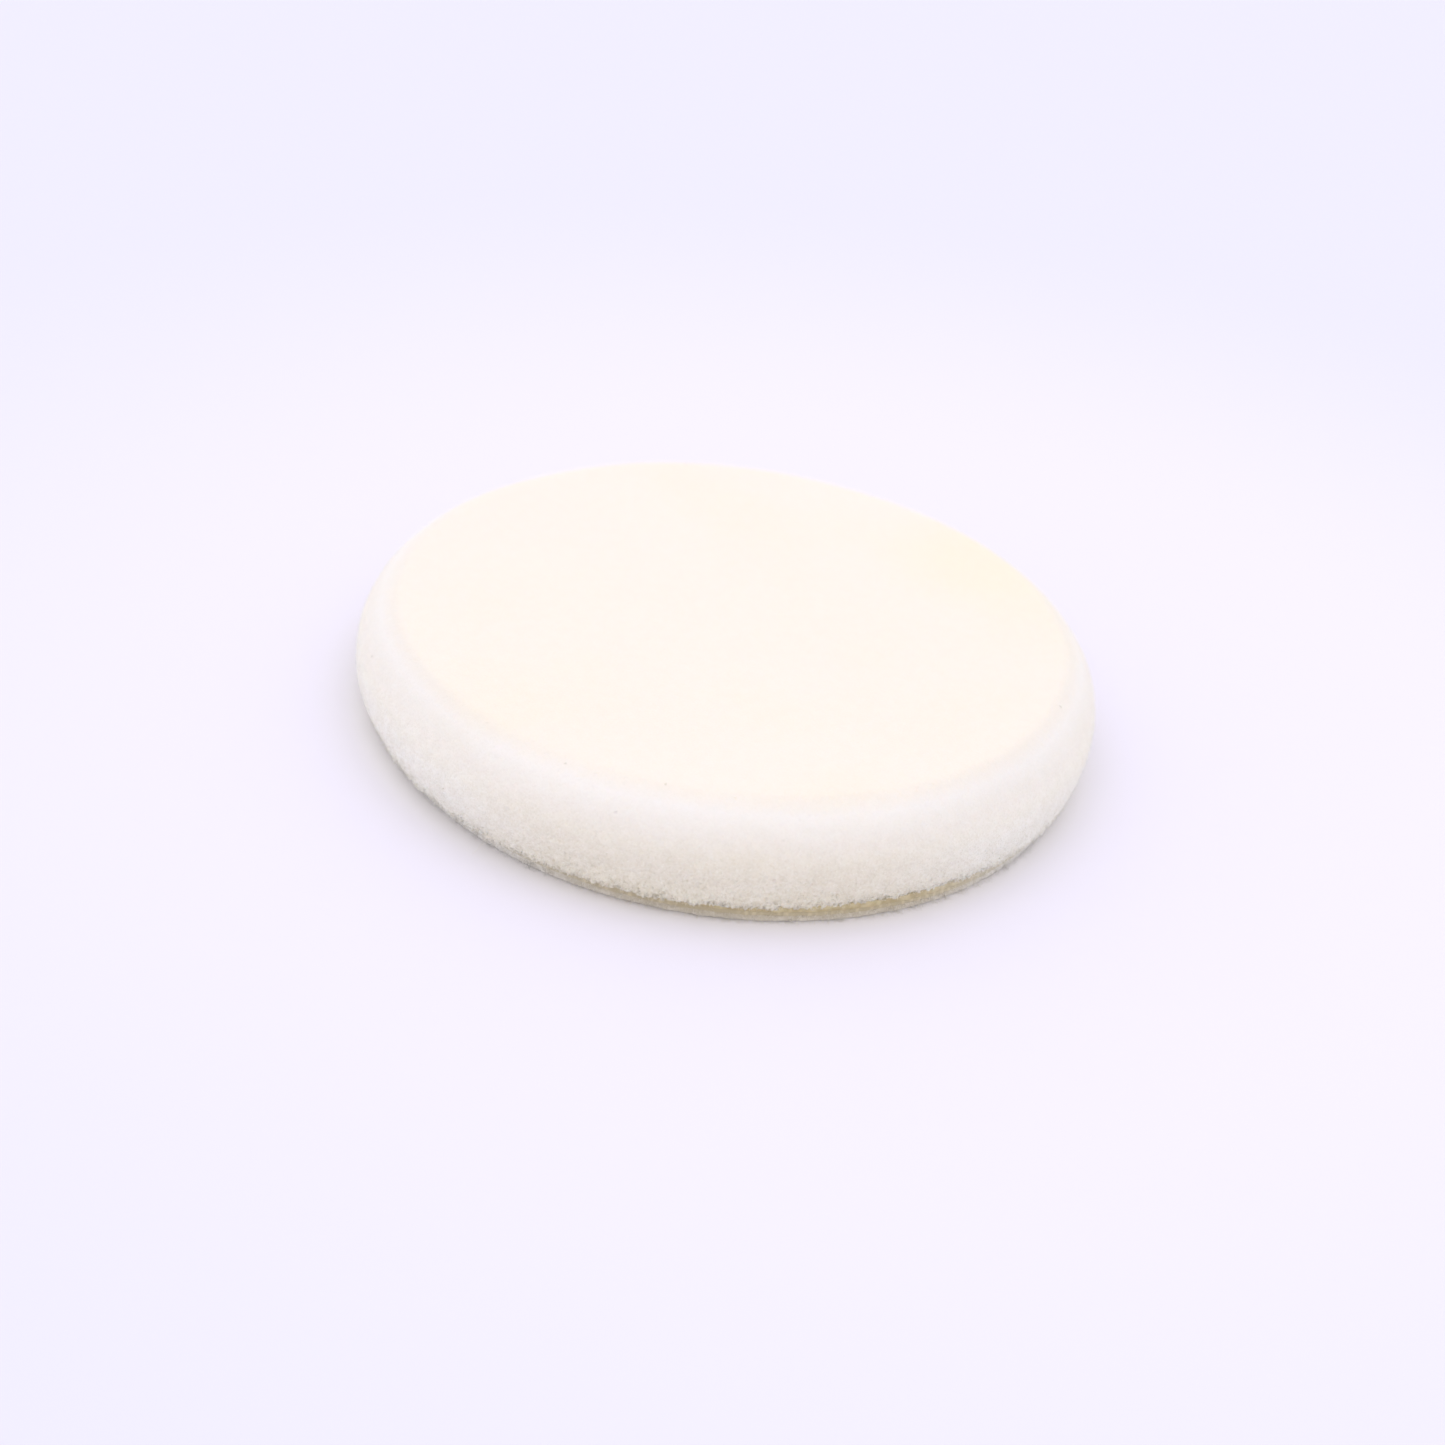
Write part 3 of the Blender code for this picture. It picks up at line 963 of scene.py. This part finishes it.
def build_fray(material):
    """Short cut yarn ends round the edge of the cloth and the pile."""
    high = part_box("backing_cloth")[1]
    pile_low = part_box("loop_pile")[0].z
    random = np.random.default_rng(FRAY_SEED)
    count = FRAY_ENDS
    angle = random.uniform(0, tau, count)
    outward = np.stack([np.cos(angle), np.sin(angle), np.zeros(count)], axis=1)
    along = np.stack([-np.sin(angle), np.cos(angle), np.zeros(count)], axis=1)
    root = outward * (high.x - FRAY_ROOT_IN)
    climb = random.uniform(0, 1, count) ** FRAY_LOW
    root[:, 2] = pile_low + FRAY_MARGIN + (high.z - pile_low - 2 * FRAY_MARGIN) * climb
    swing = random.normal(0, 1, (count, 2)) * FRAY_SWING
    upward = np.array([0, 0, 1])
    lean = outward + along * swing[:, :1] + upward * (swing[:, 1:] - FRAY_SINK)
    lean /= np.linalg.norm(lean, axis=1)[:, None]
    length = random.uniform(*FRAY_LENGTH, count)
    t = np.linspace(0, 1, FRAY_STEPS)[None, :, None]
    droop = np.array([0, 0, -1.0]) * t**2 * FRAY_DROOP
    paths = root[:, None] + length[:, None, None] * (lean[:, None] * t + droop)
    paths[:, :, 2] = np.maximum(paths[:, :, 2], FRAY_FLOOR)
    radii = FRAY_RADIUS * np.linspace(*FRAY_TAPER, FRAY_STEPS)[None] * np.ones((count, 1))
    vertices, triangles = tubes(stretch_fabric(paths), radii, along + [0, 0, 1.3], 3)
    return make_mesh("frayed_yarn_ends", vertices, triangles, material)


def build_loose_fibres(material):
    """A few pulled fibres that reach past the rim and rest near the table."""
    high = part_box("loop_pile")[1]
    t = np.linspace(0, 1, LOOSE_FIBRE_STEPS)
    paths = []
    for degrees, length, swing in LOOSE_FIBRES:
        angle = radians(degrees)
        outward = np.array([cos(angle), sin(angle)])
        along = np.array([-sin(angle), cos(angle)])
        reach = high.x - LOOSE_FIBRE_ROOT_IN + length * t
        ground = outward * reach[:, None] + along * (swing * np.sin(2.2 * t) * t)[:, None]
        arch = LOOSE_FIBRE_HUMP * np.sin(pi * t) ** 2
        height = high.z * (1 - t) ** 1.5 + LOOSE_FIBRE_TIP + arch
        paths.append(np.column_stack([ground, height]))
    paths = np.array(paths)
    taper = np.linspace(*LOOSE_FIBRE_TAPER, LOOSE_FIBRE_STEPS)[None]
    radii = LOOSE_FIBRE_RADIUS * taper * np.ones((len(paths), 1))
    upward = np.tile([0.0, 0.0, 1.0], (len(paths), 1))
    vertices, triangles = tubes(stretch_fabric(paths), radii, upward, 6)
    return make_mesh("loose_fibres", vertices, triangles, material)


def build_pad():
    """All visible pieces, each riding on the pad's one body and standing for its CAD node."""
    foam, glue, knit = foam_material(), glue_material(), knit_material()
    yarn = yarn_material("loop_yarn", YARN_TONES, YARN_RECESS_SHADE)
    fine_yarn = yarn_material("fine_yarn", FINE_YARN_TONES, FINE_YARN_RECESS_SHADE)
    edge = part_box("loop_pile")[1].x
    band = edge - RIM_BAND
    rim = edge - RIM_LOOPS_IN
    pieces = (
        (build_foam(foam), "foam_disc", "foam"),
        (build_strands(foam), "foam_disc", "foam"),
        (build_glue(glue), "adhesive_film", "adhesive"),
        (build_cloth(knit), "backing_cloth", "ground_knit"),
        (build_fray(fine_yarn), "backing_cloth", "ground_knit"),
        (build_mat(yarn), "loop_pile", "loop_yarn"),
        (build_loops("loop_pile_middle", yarn, 0, band, steps=6, seed=13), "loop_pile", "loop_yarn"),
        (build_loops("loop_pile_rim", yarn, band, rim, steps=8, seed=17), "loop_pile", "loop_yarn"),
        (build_loose_fibres(yarn), "loop_pile", "loop_yarn"),
    )
    for piece, node, slot in pieces:
        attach(piece, "root")
        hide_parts(node)


# ---------------------------------------------------------------- stage


def build_floor():
    """A wide flat table, just under the loops."""
    side = TABLE_HALF_SIDE
    corners = [(-side, -side, 0), (side, -side, 0), (side, side, 0), (-side, side, 0)]
    floor = make_mesh("table", corners, [(0, 1, 2), (0, 2, 3)], floor_material(), smooth=False)
    floor.location.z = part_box("loop_pile")[0].z - TABLE_GAP


def light_scene():
    """A white light tent, brightest overhead. Behind the table the camera sees the table's tone."""
    world = bpy.data.worlds.new("tent")
    world.use_nodes = True
    node = node_maker(world.node_tree)
    ray = node("SeparateXYZ", {0: node("TexCoord").outputs["Generated"]})
    height = calc(node, "MAXIMUM", ray.outputs["Z"], 0.0)
    strength = TENT_WALL
    for power, change in ((2.0, TENT_WAIST), (4.0, TENT_TOP)):
        raised = calc(node, "POWER", height, power)
        strength = calc(node, "ADD", strength, calc(node, "MULTIPLY", raised, change))
    for axis, lean in zip("XY", TENT_LEAN):
        strength = calc(node, "ADD", strength, calc(node, "MULTIPLY", ray.outputs[axis], lean))
    tent = node("Background", {"Color": (1, 1, 1, 1), "Strength": strength})
    backdrop = node("Background", {"Color": TABLE_FAR_DIMMED, "Strength": BACKDROP})
    seen = node("LightPath").outputs["Is Camera Ray"]
    surface = node("MixShader", {0: seen, 1: tent.outputs[0], 2: backdrop.outputs[0]})
    node("OutputWorld", {"Surface": surface.outputs[0]})
    bpy.context.scene.world = world


def place_camera():
    """The camera looks down at the pad from the front, rolled to one side."""
    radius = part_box("foam_disc")[1].x
    aim = Vector(CAMERA_AIM) * radius
    back = Vector((0, -cos(CAMERA_ELEVATION), sin(CAMERA_ELEVATION)))
    level = Vector((1, 0, 0))
    upright = back.cross(level)
    right = level * cos(CAMERA_ROLL) + upright * sin(CAMERA_ROLL)
    up = upright * cos(CAMERA_ROLL) - level * sin(CAMERA_ROLL)
    data = bpy.data.cameras.new("camera")
    data.sensor_width = CAMERA_SENSOR_MM
    data.lens = CAMERA_LENS_MM
    data.clip_start, data.clip_end = CAMERA_CLIP
    camera = bpy.data.objects.new("camera", data)
    camera.matrix_world = Matrix.Translation(aim + back * CAMERA_DISTANCE * radius) @ (
        Matrix((right, up, back)).transposed().to_4x4()
    )
    bpy.context.scene.collection.objects.link(camera)
    bpy.context.scene.camera = camera
    focus_on_near_wall(camera, aim, CAMERA_FOCUS * radius)


def focus_on_near_wall(camera, aim, distance):
    """Focuses the camera on a point that stays in front of its aim, wherever the camera stands."""
    middle, focus = (bpy.data.objects.new(name, None) for name in ("camera_aim", "camera_focus"))
    for empty in (middle, focus):
        bpy.context.scene.collection.objects.link(empty)
    middle.location = aim
    focus.constraints.new("COPY_LOCATION").target = camera
    near = focus.constraints.new("LIMIT_DISTANCE")
    near.target = middle
    near.distance = distance
    near.limit_mode = "LIMITDIST_INSIDE"
    camera.data.dof.use_dof = True
    camera.data.dof.aperture_fstop = CAMERA_FSTOP
    camera.data.dof.focus_object = focus


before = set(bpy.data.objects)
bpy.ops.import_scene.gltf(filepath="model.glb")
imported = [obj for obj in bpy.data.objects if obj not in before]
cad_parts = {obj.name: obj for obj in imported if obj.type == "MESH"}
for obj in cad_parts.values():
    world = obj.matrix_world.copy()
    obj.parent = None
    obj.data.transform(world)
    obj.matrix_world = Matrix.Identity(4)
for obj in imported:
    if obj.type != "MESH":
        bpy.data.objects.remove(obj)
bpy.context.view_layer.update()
build_pad()
build_floor()
light_scene()
place_camera()
bpy.context.scene.view_settings.view_transform = "Standard"
